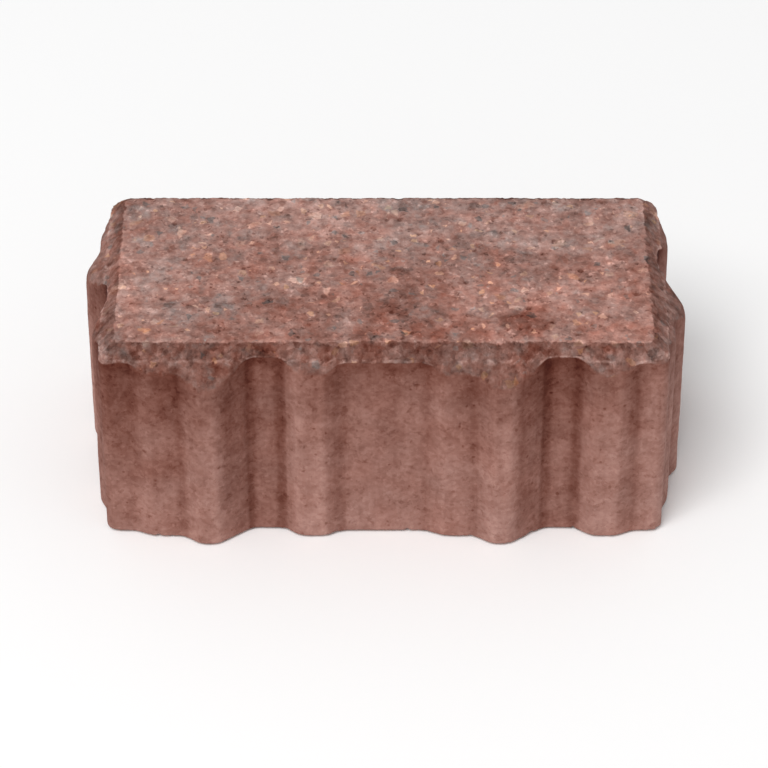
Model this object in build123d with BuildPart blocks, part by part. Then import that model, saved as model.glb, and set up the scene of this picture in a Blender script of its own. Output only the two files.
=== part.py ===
from build123d import *
import os
from math import radians, tan

# Laying grid, in millimetres: one stone and its share of the joint round it
module_length = 200.0
module_width = 100.0
stone_height = 80.0
joint_width = 8.0  # between the plain faces of two laid neighbours
laying_play = 2.3  # left between the ribs of two laid neighbours

# Ribbed cell, repeated along every side and read left to right from outside. The recess stands as far
# right of the cell's middle as the key stands left of it, and the spacer as far right as the shoulder
# stands left, because the cell of a laid neighbour is seen the other way round.
cells_per_long_side = 2
cells_per_end = 1
key_place_share = 0.1  # of the cell's length
spacer_place_share = 0.255  # of the cell's length
key_tip = 6.0
spacer_tip = 8.5
recess_depth = 1.45
flank_run = 6.0
rib_radius = 5.0
corner_radius = 4.0

# Pressed top: a chamfer round the flat face, then flatter slopes over the ribs
chamfer_width = 5.0
chamfer_height = 4.4
rib_top_angle = 36.0  # degrees below the level
top_corner_radius = 2.5
overrun = 1.0

body_length = module_length - joint_width
body_width = module_width - joint_width

# Facing spacers share the joint, and a key fills the joint and its neighbour's recess
spacer_out = (joint_width - laying_play) / 2
key_out = joint_width + recess_depth - laying_play


def cell_corners(cell_length):
    """Corners of one cell: the place along the side from the cell's middle, and out of the plain face."""
    key_offset = key_place_share * cell_length
    spacer_offset = spacer_place_share * cell_length
    shoulder_start = -spacer_offset - spacer_tip / 2
    key_start = -key_offset - key_tip / 2
    key_end = -key_offset + key_tip / 2
    spacer_start = spacer_offset - spacer_tip / 2
    spacer_end = spacer_offset + spacer_tip / 2
    recess_end = spacer_start - flank_run
    recess_start = 2 * key_offset - recess_end
    return [
        (shoulder_start - flank_run, 0),
        (shoulder_start, spacer_out),
        (key_start - flank_run, spacer_out),
        (key_start, key_out),
        (key_end, key_out),
        (recess_start, -recess_depth),
        (recess_end, -recess_depth),
        (spacer_start, spacer_out),
        (spacer_end, spacer_out),
        (spacer_end + flank_run, 0),
    ]


def side_corners(side_length, face_distance, cells, cell_length, turn):
    """Corner at the side's left end and the corners of its cells, turned to the side that they belong to."""
    corners = [Vector(-side_length / 2, -face_distance)]
    for cell in range(cells):
        middle = (cell - (cells - 1) / 2) * cell_length
        for along, out in cell_corners(cell_length):
            corners.append(Vector(middle + along, -face_distance - out))
    return [corner.rotate(Axis.Z, turn) for corner in corners]


def outline():
    """Corners of the stone in plan, anticlockwise from the front left, with the radius of each."""
    long_side = (body_length, body_width / 2, cells_per_long_side, module_length / cells_per_long_side)
    end = (body_width, body_length / 2, cells_per_end, module_width / cells_per_end)
    corners = []
    radii = []
    for turn, side in ((0, long_side), (90, end), (180, long_side), (270, end)):
        side_points = side_corners(*side, turn)
        corners += side_points
        radii += [corner_radius] + [rib_radius] * (len(side_points) - 1)
    return corners, radii


# Envelope that the press leaves: flat top, chamfer and the slopes on which the ribs end
rib_reach = key_out + overrun
chamfer_foot = stone_height - chamfer_height
slope_foot = chamfer_foot - rib_reach * tan(radians(rib_top_angle))
top_length = body_length - 2 * chamfer_width
top_width = body_width - 2 * chamfer_width

with BuildPart() as crown:
    for height, growth in (
        (slope_foot, chamfer_width + rib_reach),
        (chamfer_foot, chamfer_width),
        (stone_height, 0),
    ):
        with BuildSketch(Plane.XY.offset(height)):
            RectangleRounded(top_length + 2 * growth, top_width + 2 * growth, top_corner_radius + growth)
    loft(ruled=True)
    extrude(crown.faces().sort_by(Axis.Z)[0], amount=slope_foot)

# The stone: its ribbed plan drawn straight up, under the pressed top
outline_corners, outline_radii = outline()

with BuildPart() as paving_stone:
    with BuildSketch():
        with BuildLine():
            FilletPolyline(outline_corners, radius=outline_radii, close=True)
        make_face()
    extrude(amount=stone_height)
    add(crown.part, mode=Mode.INTERSECT)

paving_stone.part.label = "paving_stone"

os.makedirs("parts", exist_ok=True)
export_step(paving_stone.part, "parts/paving_stone.step")
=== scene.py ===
import itertools
import math

import bpy
import numpy as np
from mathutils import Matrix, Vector
from mathutils.bvhtree import BVHTree


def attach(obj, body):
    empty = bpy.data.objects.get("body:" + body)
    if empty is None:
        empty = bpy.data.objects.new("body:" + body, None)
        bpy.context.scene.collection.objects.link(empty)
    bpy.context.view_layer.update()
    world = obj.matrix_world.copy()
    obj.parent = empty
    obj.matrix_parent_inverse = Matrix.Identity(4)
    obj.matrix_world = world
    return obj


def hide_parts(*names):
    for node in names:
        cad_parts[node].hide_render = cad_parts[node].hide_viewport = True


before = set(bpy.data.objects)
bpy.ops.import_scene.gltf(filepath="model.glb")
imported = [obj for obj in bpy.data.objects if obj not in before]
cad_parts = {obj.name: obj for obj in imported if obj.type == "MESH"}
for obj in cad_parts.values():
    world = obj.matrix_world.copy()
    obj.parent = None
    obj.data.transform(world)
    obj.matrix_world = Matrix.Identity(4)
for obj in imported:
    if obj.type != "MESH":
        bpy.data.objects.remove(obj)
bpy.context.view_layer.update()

# All lengths below are millimetres unless a name says metres; the mesh is scaled at the end
MILLIMETRE = 0.001

# Mesh: cells of the top along and across, rows up a side and over the pressed edge
CELLS_ALONG = 260
CELLS_ACROSS = 116
SIDE_ROWS = 58
EDGE_ROWS = 14
UNDERSIDE_STEP = 4  # columns of the side to one cell of the underside
UNDERSIDE_INSET = 2.6
COLUMNS = 2 * (CELLS_ALONG + CELLS_ACROSS)
EDGE_SAMPLES = 49
INSIDE = 0.03  # how far inside the wall its top is probed
FAR = 400.0
ON_FACE = 0.01  # how near a level face a vertex of the solid counts as on it
OUTLINE_RADIUS = 4.0  # corner of the plain outline, from which the ribs' reach is counted
CORNER_REACH = 5.0  # how far from a corner of the stone its bend is left out of the ribs
STEEPEST = 0.59  # how far the steepest flank of a rib faces along its side
MARGIN = 0.01  # how far inside the solid's box the mesh stays


# The moulded shape, read from the solid

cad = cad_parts["paving_stone"]
cad_points = np.array([v.co for v in cad.data.vertices]) / MILLIMETRE
tree = BVHTree.FromPolygons([Vector(p) for p in cad_points], [tuple(p.vertices) for p in cad.data.polygons])
stone_top = cad_points[:, 2].max()
stone_low, stone_high = cad_points.min(0), cad_points.max(0)


def wall_at(origin, direction):
    """Point of the solid's side that a level ray meets."""
    return np.array(tree.ray_cast(Vector(origin), Vector(direction))[0])


def height_at(x, y):
    """Height of the solid's top under a point in plan."""
    hit = tree.ray_cast(Vector((x, y, FAR)), Vector((0, 0, -1)))[0]
    return hit.z if hit else stone_top


# Flat part of the top: half its length and width, and the radius of its corners
flat = cad_points[cad_points[:, 2] > stone_top - ON_FACE]
flat_x, flat_y = np.abs(flat[:, 0]).max(), np.abs(flat[:, 1]).max()
flat_radius = (flat_x + flat_y - (flat[:, 0] + flat[:, 1]).max()) / (2 - math.sqrt(2))
mid_height = stone_top / 2
plain_y = -wall_at((0, -FAR, mid_height), (0, 1, 0))[1]
chamfer_width = plain_y - flat_y
plain_x = flat_x + chamfer_width


def beyond(points, half_x, half_y, radius):
    """Distance in plan outside a rounded rectangle, below zero inside it."""
    qx = np.abs(points[:, 0]) - (half_x - radius)
    qy = np.abs(points[:, 1]) - (half_y - radius)
    outside = np.hypot(np.maximum(qx, 0), np.maximum(qy, 0))
    return outside + np.minimum(np.maximum(qx, qy), 0) - radius


# Outline, anticlockwise from the front left corner: columns of the side
foot = cad_points[cad_points[:, 2] < ON_FACE]
corner = foot[(foot[:, 0] + foot[:, 1]).argmax()]
along = np.linspace(-corner[0], corner[0], CELLS_ALONG + 1)[:-1]
across = np.linspace(-corner[1], corner[1], CELLS_ACROSS + 1)[:-1]
outline = np.array(
    [wall_at((x, -FAR, mid_height), (0, 1, 0))[:2] for x in along]
    + [wall_at((FAR, y, mid_height), (-1, 0, 0))[:2] for y in across]
    + [wall_at((-x, FAR, mid_height), (0, -1, 0))[:2] for x in along]
    + [wall_at((-FAR, -y, mid_height), (1, 0, 0))[:2] for y in across]
)
tangent = np.roll(outline, -1, 0) - np.roll(outline, 1, 0)
tangent /= np.linalg.norm(tangent, axis=1)[:, None]
outward = np.stack([tangent[:, 1], -tangent[:, 0]], 1)

# Rim of the flat top, one point to each column
rim_corner = flat_x - flat_radius * (1 - math.sqrt(0.5)), flat_y - flat_radius * (1 - math.sqrt(0.5))


def rim_line(place, half, end):
    """Distance of the rim from the middle line, at places along a side of it."""
    into_corner = np.maximum(np.abs(place) - (half - flat_radius), 0)
    return end - flat_radius + np.sqrt(flat_radius**2 - into_corner**2)


rim_along = along * rim_corner[0] / corner[0]
rim_across = across * rim_corner[1] / corner[1]
rim_y = rim_line(rim_along, flat_x, flat_y)
rim_x = rim_line(rim_across, flat_y, flat_x)
rim = np.concatenate(
    [
        np.stack([rim_along, -rim_y], 1),
        np.stack([rim_x, rim_across], 1),
        np.stack([-rim_along, rim_y], 1),
        np.stack([-rim_x, -rim_across], 1),
    ]
)

# Side rows, then the pressed edge over chamfer and rib tops, spaced evenly along its slope
probe = outline - INSIDE * outward
wall_top = np.array([height_at(x, y) for x, y in probe])
side = np.empty((SIDE_ROWS + 1, COLUMNS, 3))
side[:, :, :2] = outline
side[:, :, 2] = np.linspace(0, 1, SIDE_ROWS + 1)[:, None] * wall_top

edge = np.empty((EDGE_ROWS, COLUMNS, 3))
shares = np.linspace(0, 1, EDGE_SAMPLES)
for c in range(COLUMNS):
    plan = probe[c] + shares[:, None] * (rim[c] - probe[c])
    line = np.column_stack([plan, [height_at(x, y) for x, y in plan]])
    line[0] = side[-1, c]
    line[-1, 2] = stone_top
    way = np.concatenate([[0], np.cumsum(np.linalg.norm(np.diff(line, axis=0), axis=1))])
    stops = way[-1] * np.arange(1, EDGE_ROWS + 1) / EDGE_ROWS
    edge[:, c] = np.column_stack([np.interp(stops, way, line[:, k]) for k in range(3)])


def loop_index(cells_x, cells_y):
    """Column of each border point of a grid whose border is the loop of columns, by grid place."""
    around = 2 * (cells_x + cells_y)
    index = np.full((cells_x + 1, cells_y + 1), -1)
    i, j = np.arange(cells_x + 1), np.arange(cells_y + 1)
    index[i, 0] = i
    index[cells_x, j] = cells_x + j
    index[i, cells_y] = 2 * cells_x + cells_y - i
    index[0, j] = (around - j) % around
    return index


def filled(loop, cells_x, cells_y):
    """Points of a grid stretched over its border, given as a loop of columns."""
    at = loop[loop_index(cells_x, cells_y)]
    u = np.linspace(0, 1, cells_x + 1)[:, None, None]
    v = np.linspace(0, 1, cells_y + 1)[None, :, None]
    front, back, left, right = at[:, :1], at[:, -1:], at[:1], at[-1:]
    front_corners = (1 - u) * (1 - v) * at[0, 0] + u * (1 - v) * at[-1, 0]
    corners = front_corners + (1 - u) * v * at[0, -1] + u * v * at[-1, -1]
    return (1 - v) * front + v * back + (1 - u) * left + u * right - corners


# Vertices: side and edge rows, inside of the top, inside of the underside
top_grid = filled(rim, CELLS_ALONG, CELLS_ACROSS)[1:-1, 1:-1]
top_points = np.concatenate([top_grid, np.full(top_grid.shape[:2] + (1,), stone_top)], 2).reshape(-1, 3)
under_x, under_y = CELLS_ALONG // UNDERSIDE_STEP, CELLS_ACROSS // UNDERSIDE_STEP
inset = (outline - UNDERSIDE_INSET * outward)[::UNDERSIDE_STEP]
under_grid = filled(inset, under_x, under_y)
under_points = np.concatenate([under_grid, np.zeros(under_grid.shape[:2] + (1,))], 2).reshape(-1, 3)

rows = SIDE_ROWS + 1 + EDGE_ROWS
points = np.concatenate([side.reshape(-1, 3), edge.reshape(-1, 3), top_points, under_points])
top_start = rows * COLUMNS
under_start = top_start + len(top_points)

# Faces, each kind apart so that it gets its own part of the texture map
row, column = np.meshgrid(np.arange(rows - 1), np.arange(COLUMNS), indexing="ij")
following = (column + 1) % COLUMNS
band_faces = np.stack(
    [
        row * COLUMNS + column,
        row * COLUMNS + following,
        (row + 1) * COLUMNS + following,
        (row + 1) * COLUMNS + column,
    ],
    -1,
)
side_faces = band_faces[:SIDE_ROWS].reshape(-1, 4)
edge_faces = band_faces[SIDE_ROWS:].reshape(-1, 4)


def grid_faces(index):
    """Quads of a grid of vertex numbers, seen anticlockwise from above."""
    return np.stack([index[:-1, :-1], index[1:, :-1], index[1:, 1:], index[:-1, 1:]], -1).reshape(-1, 4)


top_index = loop_index(CELLS_ALONG, CELLS_ACROSS) + (rows - 1) * COLUMNS
top_index[1:-1, 1:-1] = top_start + np.arange(len(top_points)).reshape(top_grid.shape[:2])
top_faces = grid_faces(top_index)
under_index = under_start + np.arange(len(under_points)).reshape(under_grid.shape[:2])
under_faces = grid_faces(under_index)[:, ::-1]

under_loop = np.empty(COLUMNS // UNDERSIDE_STEP, int)
under_columns = loop_index(under_x, under_y)
under_loop[under_columns[under_columns >= 0]] = under_index[under_columns >= 0]
ring = np.arange(0, COLUMNS, UNDERSIDE_STEP)
ring_faces = np.column_stack(
    [(ring + k) % COLUMNS for k in range(UNDERSIDE_STEP, -1, -1)] + [under_loop, np.roll(under_loop, -1)]
)

quads = np.concatenate([side_faces, edge_faces, top_faces, under_faces])


# Noise fields, made from seeded tables so that every run is alike

TABLE = 4096
tables = np.random.default_rng(20)
directions = tables.normal(size=(TABLE, 3))
directions /= np.linalg.norm(directions, axis=1)[:, None]
scatter = tables.random((TABLE, 3))
tags = tables.random((TABLE, 3))


def drawn(cell, seed):
    """Table place that belongs to a lattice cell."""
    key = (cell[:, 0] * 73856093) ^ (cell[:, 1] * 19349663) ^ (cell[:, 2] * 83492791) ^ (seed * 2654435)
    return (key ^ (key >> 13)) % TABLE


def noise(p, size, seed):
    """Smooth noise about zero, mostly within a half either way, with lumps about as wide as size."""
    q = p / size
    cell = np.floor(q).astype(np.int64)
    part = q - cell
    fade = part**3 * (part * (part * 6 - 15) + 10)
    value = np.zeros(len(p))
    for step in itertools.product((0, 1), repeat=3):
        weight = np.prod(np.where(step, fade, 1 - fade), axis=1)
        value += weight * ((part - step) * directions[drawn(cell + step, seed)]).sum(1)
    return value


def layered(p, size, seed, layers=3, fall=0.55):
    """Noise with finer noise on it."""
    return sum(fall**k * noise(p, size / 2**k, seed + k) for k in range(layers))


def lumps(p, size, seed):
    """Distance to the nearest scattered centre, and that centre's three random tags."""
    q = p / size
    base = np.floor(q).astype(np.int64)
    nearest = np.full(len(p), np.inf)
    tag = np.zeros((len(p), 3))
    for step in itertools.product((-1, 0, 1), repeat=3):
        cell = base + step
        entry = drawn(cell, seed)
        distance = ((q - cell - scatter[entry]) ** 2).sum(1)
        nearer = distance < nearest
        nearest[nearer] = distance[nearer]
        tag[nearer] = tags[entry[nearer]]
    return np.sqrt(nearest) * size, tag


def smooth(value, low, high):
    """Zero at low, one at high, eased between."""
    t = np.clip((value - low) / (high - low), 0, 1)
    return t * t * (3 - 2 * t)


# Where each vertex lies: over the rim, below the wall's top, out on a rib, in an inner corner, on a flank
# that faces right, on a bend outwards or inwards. The last three mark where shade is painted, and light on
# outward bends

count = len(points)
wall_part = np.arange(count) < (SIDE_ROWS + 1) * COLUMNS
under_part = np.arange(count) >= under_start
over_rim = beyond(points, flat_x, flat_y, flat_radius)
column_of = np.arange(rows * COLUMNS) % COLUMNS
below = np.zeros(count)
below[: rows * COLUMNS] = np.maximum(wall_top[column_of] - points[: rows * COLUMNS, 2], 0)
below[~wall_part] = 0
below[under_part] = stone_top

rib_out = beyond(outline, plain_x, plain_y, OUTLINE_RADIUS)
heading = np.unwrap(np.arctan2(tangent[:, 1], tangent[:, 0]))
turn = np.roll(heading, -1) - np.roll(heading, 1)
turn = (turn + math.pi) % (2 * math.pi) - math.pi
at_corner = (np.abs(outline) > [plain_x - CORNER_REACH, plain_y - CORNER_REACH]).all(1)


def spread_along(values, width):
    """Values of the columns, each shared out to its neighbours."""
    steps = np.arange(-math.ceil(3 * width), math.ceil(3 * width) + 1)
    weights = np.exp(-((steps / width) ** 2))
    return sum(w * np.roll(values, k) for w, k in zip(weights / weights.sum(), steps))


# Inner corners of the outline, where the side gets painted shade, stronger inside the recesses
bend = spread_along(turn, 1.8)
inner = np.clip(-bend / -bend.min(), 0, 1) * np.where(rib_out < -0.5, 1.0, 0.6)
# Bends of the outline away from the stone's corners: painted light on outward bends, painted shade on inward
# ones
rib_bend_painted_light_and_shade = spread_along(np.where(at_corner, 0, turn), 3.6)
rib_bend_painted_light_and_shade /= np.abs(rib_bend_painted_light_and_shade).max()
rightward = np.repeat([(1, 0), (0, 1), (-1, 0), (0, -1)], [CELLS_ALONG, CELLS_ACROSS] * 2, axis=0)
# How far each column's flank faces right: where the side gets painted shade, as if lit from the left
right_flank_painted_shade = np.clip((outward * rightward).sum(1) / STEEPEST, 0, 1) ** 1.4 * smooth(rib_out, 6.8, 4.0)
right_flank_painted_shade[at_corner] = 0

rib = np.zeros(count)
painted_hollow_shade = np.zeros(count)
lee_painted_shade = np.zeros(count)
painted_bend_light_and_shade = np.zeros(count)
lee_painted_shade[: rows * COLUMNS] = right_flank_painted_shade[column_of]
painted_bend_light_and_shade[: rows * COLUMNS] = rib_bend_painted_light_and_shade[column_of]
rib[: rows * COLUMNS] = rib_out[column_of]
painted_hollow_shade[: rows * COLUMNS] = np.where(wall_part[: rows * COLUMNS], inner[column_of], 0)

# Worn arrises: the rim, the wall's top and the bottom edge are eased
pairs = np.concatenate([quads[:, [k, (k + 1) % 4]] for k in range(4)])
pairs = np.unique(np.sort(pairs, axis=1), axis=0)
degree = np.bincount(pairs.ravel(), minlength=count)[:, None]


def mean_of_neighbours(values):
    """Mean over the vertices that share an edge of a quad."""
    summed = np.zeros_like(values)
    np.add.at(summed, pairs[:, 0], values[pairs[:, 1]])
    np.add.at(summed, pairs[:, 1], values[pairs[:, 0]])
    return summed / np.maximum(degree, 1)


near_rim = np.exp(-((over_rim / 1.2) ** 2)) * (points[:, 2] > mid_height)
near_edge = np.exp(-((below / 1.9) ** 2)) * wall_part
near_edge += np.exp(-(((over_rim - chamfer_width) / 1.2) ** 2)) * (points[:, 2] > mid_height) * ~wall_part
near_bottom = np.exp(-((points[:, 2] / 1.4) ** 2)) * wall_part
ease = np.clip(near_rim + near_edge + near_bottom, 0, 1)[:, None]
on_rib = np.zeros(count)
on_rib[: rows * COLUMNS] = smooth(rib_out, 0.8, 2.4)[column_of]
rib_top = smooth(over_rim, chamfer_width - 0.3, chamfer_width + 1.0) * ~wall_part * on_rib
ease_ribs = (rib_top + np.exp(-((below / 2.4) ** 2)) * wall_part * on_rib)[:, None]
rest = points.copy()
for passes, share in ((9, ease), (14, ease_ribs)):
    for _ in range(passes):
        points += 0.5 * share * (mean_of_neighbours(points) - points)


def normals_of(p):
    """Unit normals of the vertices, from the quads around them."""
    a, b, c, d = (p[quads[:, k]] for k in range(4))
    across_face = np.cross(c - a, d - b)
    summed = np.zeros_like(p)
    for k in range(4):
        np.add.at(summed, quads[:, k], across_face)
    return summed / np.maximum(np.linalg.norm(summed, axis=1), 1e-9)[:, None]


normal = normals_of(points)

# Roughness of each region, as a depth in millimetres below the moulded face
top_share = smooth(over_rim, 0.9, -0.6) * ~wall_part * ~under_part
side_share = smooth(below, 0.0, 1.6) * wall_part
under_share = under_part.astype(float)
crumb_share = np.clip(1 - top_share - side_share - under_share, 0, 1)

# Top: grit standing in the paste, dips between, air pits
grit_warp = np.stack([layered(points, 1.5, seed) for seed in (101, 102, 103)], 1)
grit, grit_tag = lumps(points + 0.5 * grit_warp, 2.7, 11)
grit_size = 0.6 + 0.9 * grit_tag[:, 0]
grit_dome = np.sqrt(np.clip(1 - (grit / grit_size) ** 2, 0, 1)) * grit_tag[:, 1]
pits, pit_tag = lumps(points, 4.6, 12)
pit_size = np.where(pit_tag[:, 0] > 0.55, 0.5 + 0.9 * pit_tag[:, 1] ** 2, 0.01)
pit = np.sqrt(np.clip(1 - (pits / pit_size) ** 2, 0, 1)) * np.minimum(pit_size, 1.0)
top_depth = (
    0.42
    + 0.55 * layered(points, 3.2, 21)
    + 0.35 * layered(points, 17.0, 25)
    - 0.34 * grit_dome
    + 0.75 * pit
)

# Pressed edge: crumbs and short streaks down the slope, and a broken ridge where the chamfer ends
drawn_down = rest.copy()
drawn_down[: rows * COLUMNS, :2] = outline[column_of]
groove = layered(drawn_down * [1, 1, 0.2], 2.6, 35)
crumb_warp = np.stack([layered(points, 1.8, seed) for seed in (111, 112, 113)], 1)
crumbs, crumb_tag = lumps(points + crumb_warp, 2.3, 13)
crumb_dome = np.sqrt(np.clip(1 - (crumbs / (0.7 + 0.8 * crumb_tag[:, 0])) ** 2, 0, 1)) * crumb_tag[:, 1]
ridge_line = np.exp(-(((over_rim + 0.7 * layered(points, 4.0, 30) - chamfer_width + 0.2) / 0.45) ** 2))
broken = smooth(layered(points, 4.2, 31), -0.4, 0.25)
on_plain = np.zeros(count)
on_plain[: rows * COLUMNS] = smooth(rib_out, 1.6, 0.3)[column_of]
ridge = broken * np.where(wall_part, smooth(below, 1.5, 0.1) * on_plain, ridge_line)
crumbs_out = 0.17 * groove + 0.42 * layered(points, 2.8, 37) - 0.26 * crumb_dome + 0.4 * pit - 0.34 * ridge
crumb_depth = 0.58 + crumbs_out * (1 - 0.5 * rib_top)

# Side: drawn smooth in the mould, with drag lines up and down and a few pores
drawn_lines = points * [1, 1, 0.07]
pores, pore_tag = lumps(points, 7.5, 14)
pore_size = np.where(pore_tag[:, 0] > 0.45, 0.35 + 0.75 * pore_tag[:, 1] ** 3, 0.01)
pore = np.sqrt(np.clip(1 - (pores / pore_size) ** 2, 0, 1)) * pore_size
side_depth = (
    0.22
    + 0.12 * layered(drawn_lines, 2.8, 41, 2)
    + 0.24 * noise(points, 12.0, 45)
    + 0.1 * layered(points, 3.2, 46, 2)
    + 0.8 * pore
)

under_depth = 0.35 + 0.5 * layered(points, 5.0, 51)
crown_depth = top_share * top_depth + crumb_share * crumb_depth
depth = np.maximum(crown_depth + side_share * side_depth + under_share * under_depth, 0)
points -= depth[:, None] * normal

# Chips knocked off the arrises
chips = np.random.default_rng(33)
up = np.array([0, 0, 1.0])
outward_3d = np.column_stack([outward, np.zeros(COLUMNS)])
chip = np.zeros(count)
CHIP_KINDS = (
    # row of the mesh, upward lean, how many, smallest and largest radius, smallest and largest bite
    (rows - 1, 0.75, 120, 0.9, 3.4, 0.25, 1.0),
    (SIDE_ROWS, 0.55, 110, 0.8, 2.6, 0.2, 0.8),
    (SIDE_ROWS + 3, 0.8, 70, 1.0, 3.0, 0.2, 0.8),
    (0, -0.7, 60, 1.0, 3.2, 0.15, 0.65),
)
wobble = 1 + 0.5 * layered(points, 1.6, 61)
for mesh_row, lean, how_many, small, large, shallow, deep in CHIP_KINDS:
    for c in chips.integers(0, COLUMNS, how_many):
        radius = small + (large - small) * chips.random() ** 2.2
        bite = min(shallow + (deep - shallow) * chips.random() ** 1.6, 0.7 * radius)
        away = outward_3d[c] * math.sqrt(1 - lean**2) + up * lean
        centre = points[mesh_row * COLUMNS + c] + away * (radius - bite)
        apart = points - centre
        reach = np.linalg.norm(apart, axis=1)
        bitten = reach < radius * wobble
        push = (radius * wobble - reach)[bitten]
        away_from = apart[bitten] / np.maximum(reach[bitten], 1e-6)[:, None]
        points[bitten] += away_from * np.minimum(push, bite)[:, None]
        chip[bitten] = np.maximum(chip[bitten], smooth(push, 0.05, 0.5))

# A dark smear on the top, right of the middle and towards the front
SMUDGE_PLACE, SMUDGE_SIZE = np.array([47.0, -28.5]), np.array([11.0, 8.5])
smudge_way = np.linalg.norm((rest[:, :2] - SMUDGE_PLACE) / SMUDGE_SIZE, axis=1)
smudge_way += 0.6 * layered(rest, 5.0, 71)
smudge = smooth(smudge_way, 1.15, 0.45)

points = np.clip(points, stone_low + MARGIN * (stone_low < 0), stone_high - MARGIN)
points[:, 2] = np.maximum(points[:, 2], 0)


# The piece, with its texture map: top and underside laid flat, each side unrolled

mesh = bpy.data.meshes.new("paving_stone_body")
face_lists = quads.tolist() + ring_faces.tolist()
mesh.from_pydata((points * MILLIMETRE).tolist(), [], face_lists)
step_length = np.linalg.norm(np.roll(outline, -1, 0) - outline, axis=1)
GAP = 4.0  # between the parts of the map
side_starts = np.cumsum([0, CELLS_ALONG, CELLS_ACROSS, CELLS_ALONG, CELLS_ACROSS])
unrolled = np.empty((SIDE_ROWS, COLUMNS, 4, 2))
length, width = (stone_high - stone_low)[:2]
places = (
    (GAP, 2 * width + 3 * GAP),
    (length + 3 * GAP, GAP),
    (GAP, 2 * width + 4 * GAP + stone_top),
    (length + 3 * GAP, 2 * GAP + stone_top),
)
for (start, end), (x0, y0) in zip(zip(side_starts[:-1], side_starts[1:]), places):
    run = np.concatenate([[0], np.cumsum(step_length[start:end])]) + x0
    z = rest[: (SIDE_ROWS + 1) * COLUMNS, 2].reshape(SIDE_ROWS + 1, COLUMNS) + y0
    right = (np.arange(start, end) + 1) % COLUMNS
    unrolled[:, start:end, 0, 0] = unrolled[:, start:end, 3, 0] = run[:-1]
    unrolled[:, start:end, 1, 0] = unrolled[:, start:end, 2, 0] = run[1:]
    unrolled[:, start:end, 0, 1] = z[:-1, start:end]
    unrolled[:, start:end, 1, 1] = z[:-1, right]
    unrolled[:, start:end, 2, 1] = z[1:, right]
    unrolled[:, start:end, 3, 1] = z[1:, start:end]
laid = rest[:, :2] + [length / 2 + GAP, width / 2 + GAP]
turned = rest[:, :2] * [-1, 1] + [length / 2 + GAP, width * 1.5 + 2 * GAP]
canvas = 2 * width + 2 * stone_top + 5 * GAP
flat_map = np.concatenate(
    [
        unrolled.reshape(-1, 2),
        laid[np.concatenate([edge_faces, top_faces]).ravel()],
        turned[np.concatenate([under_faces.ravel(), ring_faces.ravel()])],
    ]
)
mesh.uv_layers.new(name="OFBake").data.foreach_set("uv", (flat_map / canvas).ravel())
# Attributes for the material; the inner-corner, right-flank, bend and pit ones mark where it paints shade,
# and light on outward bends
for name, values in {
    "over_rim": over_rim,
    "below": below,
    "rib": rib,
    "painted_hollow_shade": painted_hollow_shade,
    "pit": np.where(under_part, 0, pit * (top_share + crumb_share) + pore * side_share),
    "chip": chip,
    "smudge": smudge,
    "lee_painted_shade": lee_painted_shade,
    "painted_bend_light_and_shade": painted_bend_light_and_shade,
    "groove": groove,
    "ridge": ridge,
}.items():
    layer = mesh.attributes.new(name, "FLOAT", "POINT").data
    layer.foreach_set("value", np.ascontiguousarray(values, np.float32))
mesh.shade_smooth()
mesh.validate()
stone = bpy.data.objects.new("paving_stone_body", mesh)
bpy.context.scene.collection.objects.link(stone)


# Concrete, by nodes that count in millimetres. Its colour is worked out as a tone and a warmth, both on the
# screen's scale of 255: red is the tone, blue lies below it by the warmth, green by most of the warmth.
# Ochre grains have some green back.

material = bpy.data.materials.new("concrete_red_brown")
material.use_nodes = True
graph = material.node_tree
graph.nodes.clear()


def node(kind, inputs, **settings):
    made = graph.nodes.new(kind)
    for name, value in settings.items():
        setattr(made, name, value)
    for name, value in inputs.items():
        if isinstance(value, bpy.types.NodeSocket):
            graph.links.new(value, made.inputs[name])
        else:
            made.inputs[name].default_value = value
    return made


def calc(operation, a, b=0.0, c=0.0):
    return node("ShaderNodeMath", {0: a, 1: b, 2: c}, operation=operation).outputs[0]


def times(a, b):
    return calc("MULTIPLY", a, b)


def total(*terms):
    added = terms[0]
    for term in terms[1:]:
        added = calc("ADD", added, term)
    return added


def vector(operation, a, b):
    second = "Scale" if operation == "SCALE" else 1
    return node("ShaderNodeVectorMath", {0: a, second: b}, operation=operation).outputs[0]


def ranged(value, low, high, start=0.0, end=1.0, kind="SMOOTHSTEP"):
    """Start at low and end at high, eased between."""
    limits = {"Value": value, "From Min": low, "From Max": high, "To Min": start, "To Max": end}
    return node("ShaderNodeMapRange", limits, interpolation_type=kind).outputs[0]


def mixed(share, a, b):
    return node("ShaderNodeMix", {0: share, 2: a, 3: b}, data_type="FLOAT").outputs[0]


def cloud(where, size, shift, detail=3.0, rough=0.55):
    """Cloudy noise about a half, with lumps about as wide as size."""
    moved = vector("ADD", where, (shift, 0.7 * shift, 1.3 * shift))
    inputs = {"Vector": moved, "Scale": 1 / size, "Detail": detail, "Roughness": rough}
    return node("ShaderNodeTexNoise", inputs)


def swing(where, size, shift, amount, detail=3.0, rough=0.55):
    """Cloudy noise about zero, of which amount is roughly the usual departure."""
    return from_half(cloud(where, size, shift, detail, rough).outputs[0], amount / CLOUD_SPREAD)


def cells(where, size, shift, feature):
    """Cells about as wide as size, one to each grain."""
    inputs = {"Vector": vector("ADD", where, (shift, -shift, 0.6 * shift)), "Scale": 1 / size}
    return node("ShaderNodeTexVoronoi", inputs, feature=feature)


def grains(where, size, shift):
    """Three random numbers of each grain and the way from its middle."""
    whole = cells(where, size, shift, "F1")
    split = node("ShaderNodeSeparateColor", {0: whole.outputs["Color"]}).outputs
    return split[0], split[1], split[2], whole.outputs["Distance"]


def way_in(where, size, shift):
    """The way in from the edge of a grain."""
    return cells(where, size, shift, "DISTANCE_TO_EDGE").outputs["Distance"]


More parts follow.
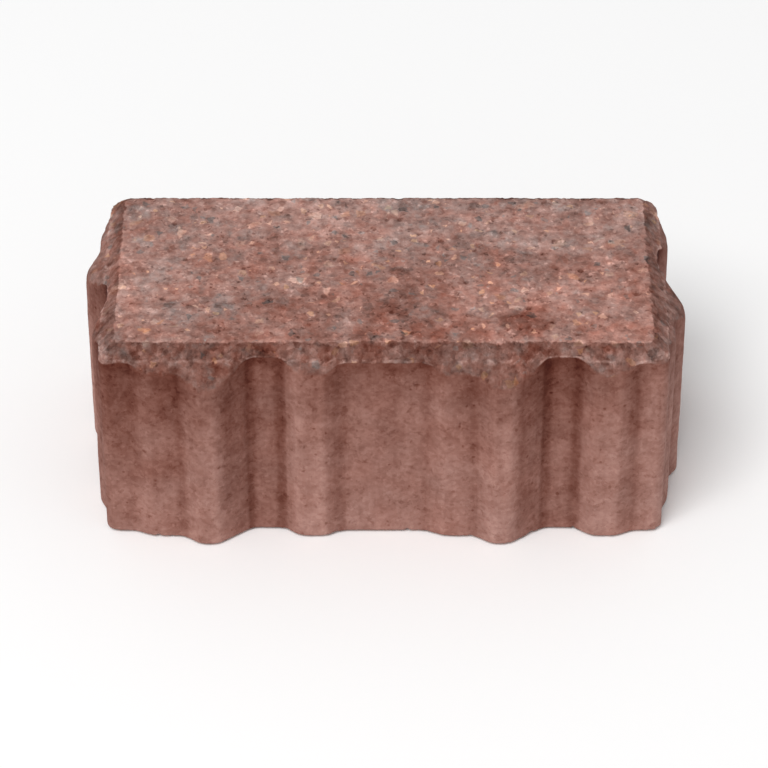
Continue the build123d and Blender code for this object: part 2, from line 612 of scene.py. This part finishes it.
def chosen(random, share):
    """One for that share of the grains."""
    return calc("LESS_THAN", random, share)


def from_half(random, amount):
    """A random number's departure from a half, times amount."""
    return times(calc("SUBTRACT", random, 0.5), amount)


def between(random, low, high):
    """Low to high, by a random number from zero to one."""
    return ranged(random, 0.0, 1.0, low, high, "LINEAR")


def attribute(name):
    return node("ShaderNodeAttribute", {}, attribute_name=name).outputs["Fac"]


# Tones and warmths of the regions
FACE_TONE, BED_TONE = 158.5, 146.0
FACE_WARMTH = 53.0, 45.0  # near the front and at the back of the top
EDGE_TONE, EDGE_WARMTH = (114.0, 122.0), 46.0  # tone at the rim and at the foot of the chamfer
SIDE_TONE, SIDE_WARMTH = (132.5, 156.5), 52.0  # tone near the top and at the foot
LEAST_WARMTH = 20.0
GREEN_SHARE = 0.8  # of the warmth, by which green lies below red
SCREEN_WHITE, SCREEN_GAMMA = 255, 2.2
CLOUD_SPREAD = 0.1  # usual departure of cloudy noise from a half

place = vector("SCALE", node("ShaderNodeTexCoord", {}).outputs["Object"], 1 / MILLIMETRE)
wander = vector("SUBTRACT", cloud(place, 1.6, 0.0).outputs["Color"], (0.5, 0.5, 0.5))
loose = vector("ADD", place, vector("SCALE", wander, 1.6))
slurred = vector("MULTIPLY", loose, (1, 1, 0.35))  # drawn out down the pressed edge
dragged = vector("MULTIPLY", place, (1, 1, 0.05))  # drawn out down the side
length_in, depth_in, height = node("ShaderNodeSeparateXYZ", {0: place}).outputs

over, down, out = attribute("over_rim"), attribute("below"), attribute("rib")
painted_hollow_shade_at, lee_painted_shade_at, painted_bend_light_and_shade_at = attribute("painted_hollow_shade"), attribute("lee_painted_shade"), attribute("painted_bend_light_and_shade")
pit_depth_for_painted_shade, chipped, ridged = attribute("pit"), attribute("chip"), attribute("ridge")
smudge_at, groove_at = attribute("smudge"), attribute("groove")

# Regions, with ragged borders
ragged = calc("SUBTRACT", cloud(place, 2.4, 5.0, 3.0, 0.6).outputs[0], 0.5)
ragged_over = calc("MULTIPLY_ADD", ragged, 3.0, over)
on_top = ranged(ragged_over, 0.1, -0.9)
ribbed = ranged(out, 0.6, 2.4)
ragged_down = total(down, times(ragged, mixed(ribbed, 1.8, 5.0)))
on_side = ranged(ragged_down, -0.1, mixed(ribbed, 1.0, 2.4))
on_bed = ranged(down, 77.5, 79.5)
on_rib_top = ranged(ragged_over, chamfer_width + 0.1, chamfer_width + 1.2)

# Face mix: paste clouded dark and pale, warm and grey, with sand and grit in it, and pits and holes with
# painted shade in them
SAND, GRIT, STONE = (loose, 1.15, 13.0), (loose, 2.9, 57.0), (loose, 5.2, 19.0)
sand_a, sand_b, sand_c, _ = grains(*SAND)
grit_a, grit_b, grit_c, _ = grains(*GRIT)
sand_body = ranged(way_in(*SAND), 0.04, 0.16)
grit_body = ranged(calc("SUBTRACT", way_in(*GRIT), between(grit_b, 0.03, 0.24)), 0.0, 0.09)
pale_sand = times(sand_body, chosen(sand_b, 0.07))
dark_sand = times(sand_body, chosen(sand_c, 0.06))
pale_grit = times(grit_body, chosen(grit_a, 0.1))
grey_grit = times(grit_body, calc("GREATER_THAN", grit_a, 0.94))
stone_a, stone_b, stone_c, _ = grains(*STONE)
stone_body = ranged(calc("SUBTRACT", way_in(*STONE), between(stone_b, 0.05, 0.3)), 0.0, 0.1)
pale_stone = times(stone_body, chosen(stone_a, 0.1))
grey_stone = times(stone_body, calc("GREATER_THAN", stone_a, 0.86))
# Holes made in the shader only, with painted shade in them
hole_a, hole_b, _, hole_far = grains(loose, 2.3, 91.0)
hole_painted_shade = times(
    ranged(calc("SUBTRACT", between(hole_b, 0.1, 0.32), hole_far), 0.0, 0.12),
    chosen(hole_a, 0.12),
)
# Painted shade in pits and holes
pit_painted_shade = calc("MAXIMUM", hole_painted_shade, ranged(pit_depth_for_painted_shade, 0.1, 0.7))
dark_spot = ranged(cloud(loose, 4.6, 137.0, 3.0, 0.6).outputs[0], 0.57, 0.7)
grey_cloud = ranged(cloud(place, 9.0, 171.0, 3.0, 0.6).outputs[0], 0.54, 0.68)
mix_tone = total(
    from_half(sand_a, 14.0),
    times(grit_body, from_half(grit_b, 28.0)),
    times(stone_body, from_half(stone_c, 18.0)),
    swing(loose, 3.4, 80.0, 9.0, 3.0, 0.6),
    times(dark_spot, -22.0),
    times(grey_cloud, -6.0),
    swing(place, 8.0, 33.0, 9.0),
    swing(place, 20.0, 120.0, 6.0),
    swing(place, 60.0, 150.0, 6.5, 2.0),
    times(pale_sand, 26.0),
    times(dark_sand, -26.0),
    times(pale_grit, between(grit_c, 22.0, 58.0)),
    times(grey_grit, between(grit_c, -34.0, -4.0)),
    times(pale_stone, between(stone_c, 14.0, 42.0)),
    times(grey_stone, between(stone_c, -26.0, -8.0)),
    times(pit_painted_shade, -38.0),
)
mix_warmth = total(
    swing(place, 40.0, 181.0, 3.0, 2.0),
    swing(place, 13.0, 61.0, 4.0, 3.0, 0.6),
    swing(loose, 5.0, 97.0, 3.5),
    from_half(grit_c, 9.0),
    times(pale_grit, between(grit_b, -2.0, 24.0)),
    times(grey_grit, -20.0),
    times(grey_cloud, -12.0),
    times(dark_spot, -4.0),
    times(pale_stone, between(stone_b, 2.0, 28.0)),
    times(grey_stone, from_half(stone_b, 16.0)),
)
mix_ochre = total(
    times(pale_grit, between(grit_b, 2.0, 12.0)),
    times(pale_stone, between(stone_b, 2.0, 10.0)),
)
face_tone = total(FACE_TONE, mix_tone, times(smudge_at, -42.0), ranged(over, -4.0, 0.0, 0.0, 5.0))
face_warmth = total(
    ranged(depth_in, -15.0, 42.0, *FACE_WARMTH, "LINEAR"),
    mix_warmth,
    times(mix_tone, 0.16),
    times(smudge_at, -4.0),
)

# Pressed edge: the same mix, dark, crumbly and sooty, with a pale broken ridge and paler ends
crumb_a, crumb_b, _, _ = grains(slurred, 1.9, 29.0)
soot = ranged(cloud(place, 6.5, 203.0, 3.0, 0.6).outputs[0], 0.5, 0.66)
edge_tone = total(
    ranged(over, 0.0, chamfer_width, *EDGE_TONE, "LINEAR"),
    times(mix_tone, 0.5),
    times(groove_at, 15.0),
    times(from_half(crumb_a, 26.0), mixed(on_rib_top, 1.0, 0.5)),
    times(soot, mixed(on_rib_top, -17.0, -6.0)),
    swing(loose, 2.6, 11.0, 8.0, 3.0, 0.65),
    swing(place, 14.0, 47.0, 6.0),
    times(on_rib_top, -3.0),
    ranged(calc("ABSOLUTE", length_in), plain_x - 7.0, plain_x - 1.0, 0.0, 13.0),
    times(ranged(ridged, 0.1, 0.8), between(crumb_b, 14.0, 42.0)),
)
edge_warmth = total(EDGE_WARMTH, times(mix_warmth, 0.8), times(mix_tone, 0.1), on_rib_top, times(soot, -9.0))

# Side: fine-grained, faint streaks, specks and pores with painted shade in them, darker towards the edge
# with a painted shadow just under it, painted shade in inner corners, on recessed parts and on flanks that
# face right, painted light on outward bends and shade on inward ones, paler to the foot; the front is darker
# at its left end and paler at its right one
fine_a, _, _, _ = grains(loose, 1.25, 71.0)
pore_a, pore_b, _, pore_far = grains(loose, 3.6, 35.0)
# Pores made in the shader only, with painted shade in them
pore_mark_painted_shade = times(
    ranged(calc("SUBTRACT", between(pore_b, 0.05, 0.26), pore_far), 0.0, 0.14),
    chosen(pore_a, 0.3),
)
speck = ranged(cloud(loose, 2.4, 143.0, 3.0, 0.6).outputs[0], 0.57, 0.68)
pore_painted_shade = calc("MAXIMUM", times(pore_mark_painted_shade, 0.7), ranged(pit_depth_for_painted_shade, 0.1, 0.8))
to_front, to_left = ranged(depth_in, -26.0, -43.0), ranged(length_in, -50.0, -80.0)
side_tone = total(
    ranged(height, 76.0, 0.0, *SIDE_TONE, "LINEAR"),
    ranged(down, 24.0, 4.0, 0.0, -8.0),
    # Painted shadow just under the edge, deeper on the plain face than on the ribs
    times(ranged(down, 8.0, 0.6), ranged(out, 0.6, 2.4, -15.0, -4.0)),
    times(to_front, times(to_left, ranged(height, 0.0, 70.0, -6.0, -16.0))),
    times(to_front, ranged(length_in, 62.0, 78.0, 0.0, 7.0)),
    swing(dragged, 2.6, 23.0, 2.0, 3.0, 0.6),
    swing(vector("MULTIPLY", place, (1, 1, 0.1)), 11.0, 27.0, 2.6, 2.0),
    swing(place, 24.0, 37.0, 3.6),
    swing(place, 6.0, 39.0, 4.6),
    swing(loose, 1.8, 45.0, 3.0, 2.0, 0.6),
    times(speck, -13.0),
    from_half(fine_a, 12.5),
    # Painted shade on the recessed parts of the side
    times(ranged(out, 0.0, -1.2), -12.5),
    # Painted shade in pores
    times(pore_painted_shade, -34.0),
    # Painted shade in inner corners
    times(ranged(total(painted_hollow_shade_at, swing(dragged, 6.0, 49.0, 0.06)), 0.1, 0.9), -14.0),
    # Painted shade on flanks that face right
    times(lee_painted_shade_at, -16.0),
    # Painted light on outward bends, painted shade on inward ones
    times(painted_bend_light_and_shade_at, 7.0),
)
side_warmth = total(SIDE_WARMTH, swing(place, 15.0, 63.0, 1.2), times(pore_painted_shade, 2.0))

bed_tone = total(BED_TONE, times(mix_tone, 0.9))
crown_tone, crown_warmth = mixed(on_top, edge_tone, face_tone), mixed(on_top, edge_warmth, face_warmth)
wall_tone = mixed(on_bed, side_tone, bed_tone)
tone = total(mixed(on_side, crown_tone, wall_tone), times(chipped, 5.0))
warmth = calc("MAXIMUM", mixed(on_side, crown_warmth, side_warmth), LEAST_WARMTH)
ochre = mixed(on_side, mix_ochre, 0.0)
screen = node(
    "ShaderNodeCombineColor",
    {
        0: times(tone, 1 / SCREEN_WHITE),
        1: times(total(calc("MULTIPLY_ADD", warmth, -GREEN_SHARE, tone), ochre), 1 / SCREEN_WHITE),
        2: times(calc("SUBTRACT", tone, warmth), 1 / SCREEN_WHITE),
    },
).outputs[0]
skin = node("ShaderNodeGamma", {"Color": screen, "Gamma": SCREEN_GAMMA}).outputs[0]

# Fine relief, in millimetres
crown_relief = times(cloud(place, 1.4, 61.0, 2.0, 0.6).outputs[0], 0.3)
side_relief = total(
    times(cloud(place, 2.0, 65.0, 2.0).outputs[0], 0.06),
    times(cloud(dragged, 2.4, 67.0, 2.0).outputs[0], 0.03),
)
relief = mixed(on_side, crown_relief, side_relief)
bump = node("ShaderNodeBump", {"Strength": 1.0, "Distance": MILLIMETRE, "Height": relief})

shader = node(
    "ShaderNodeBsdfPrincipled",
    {
        "Base Color": skin,
        "Roughness": ranged(tone, 90.0, 200.0, 0.95, 0.82, "LINEAR"),
        "Specular IOR Level": 0.25,
        "Normal": bump.outputs[0],
    },
)
node("ShaderNodeOutputMaterial", {"Surface": shader.outputs[0]})
mesh.materials.append(material)

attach(stone, "root")
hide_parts("paving_stone")


# Floor, light and camera, in metres

FLOOR = 6.0  # half its width
FLOOR_COLOUR = 0.98, 0.98, 0.98, 1
DOME_LIGHT, DOME_SEEN = 0.48, 1.0  # strength as a light, and where it is seen
LAMP_WIDTH, LAMP_POWER = 2.4, 122.0
LAMP_PLACE, LAMP_TARGET = (-1.1, -2.0, 3.5), (0, 0, 0.04)
CAMERA_PLACE, CAMERA_TARGET, CAMERA_LENS = (0, -1.0485, 0.8807), (0, -0.02, 0.045), 181.0

floor_mesh = bpy.data.meshes.new("floor")
floor_corners = [(-FLOOR, -FLOOR, 0), (FLOOR, -FLOOR, 0), (FLOOR, FLOOR, 0), (-FLOOR, FLOOR, 0)]
floor_mesh.from_pydata(floor_corners, [], [(0, 1, 2, 3)])
floor = bpy.data.objects.new("floor", floor_mesh)
bpy.context.scene.collection.objects.link(floor)
floor_material = bpy.data.materials.new("floor_white")
floor_material.use_nodes = True
floor_shader = floor_material.node_tree.nodes["Principled BSDF"]
floor_shader.inputs["Base Color"].default_value = FLOOR_COLOUR
floor_shader.inputs["Roughness"].default_value = 0.9
floor_shader.inputs["Specular IOR Level"].default_value = 0.1
floor_mesh.materials.append(floor_material)

world = bpy.data.worlds.new("studio")
world.use_nodes = True
graph = world.node_tree  # the helpers above now add to the world
dome = graph.nodes["Background"]
dome.inputs["Color"].default_value = (1, 1, 1, 1)
ray = node("ShaderNodeLightPath", {}).outputs
through = calc("MAXIMUM", ray["Is Glossy Ray"], ray["Is Transmission Ray"])
seen = calc("MAXIMUM", ray["Is Camera Ray"], through)
graph.links.new(mixed(seen, DOME_LIGHT, DOME_SEEN), dome.inputs["Strength"])
bpy.context.scene.world = world


def aimed(thing, position, target):
    """Put a lamp or camera in the scene, turned to its target."""
    thing.location = position
    thing.rotation_euler = (Vector(target) - Vector(position)).to_track_quat("-Z", "Y").to_euler()
    bpy.context.scene.collection.objects.link(thing)


lamp = bpy.data.lights.new("soft_box", "AREA")
lamp.size = LAMP_WIDTH
lamp.energy = LAMP_POWER
aimed(bpy.data.objects.new("soft_box", lamp), LAMP_PLACE, LAMP_TARGET)

lens = bpy.data.cameras.new("camera")
lens.lens = CAMERA_LENS
camera = bpy.data.objects.new("camera", lens)
aimed(camera, CAMERA_PLACE, CAMERA_TARGET)
bpy.context.scene.camera = camera
bpy.context.scene.view_settings.view_transform = "Standard"
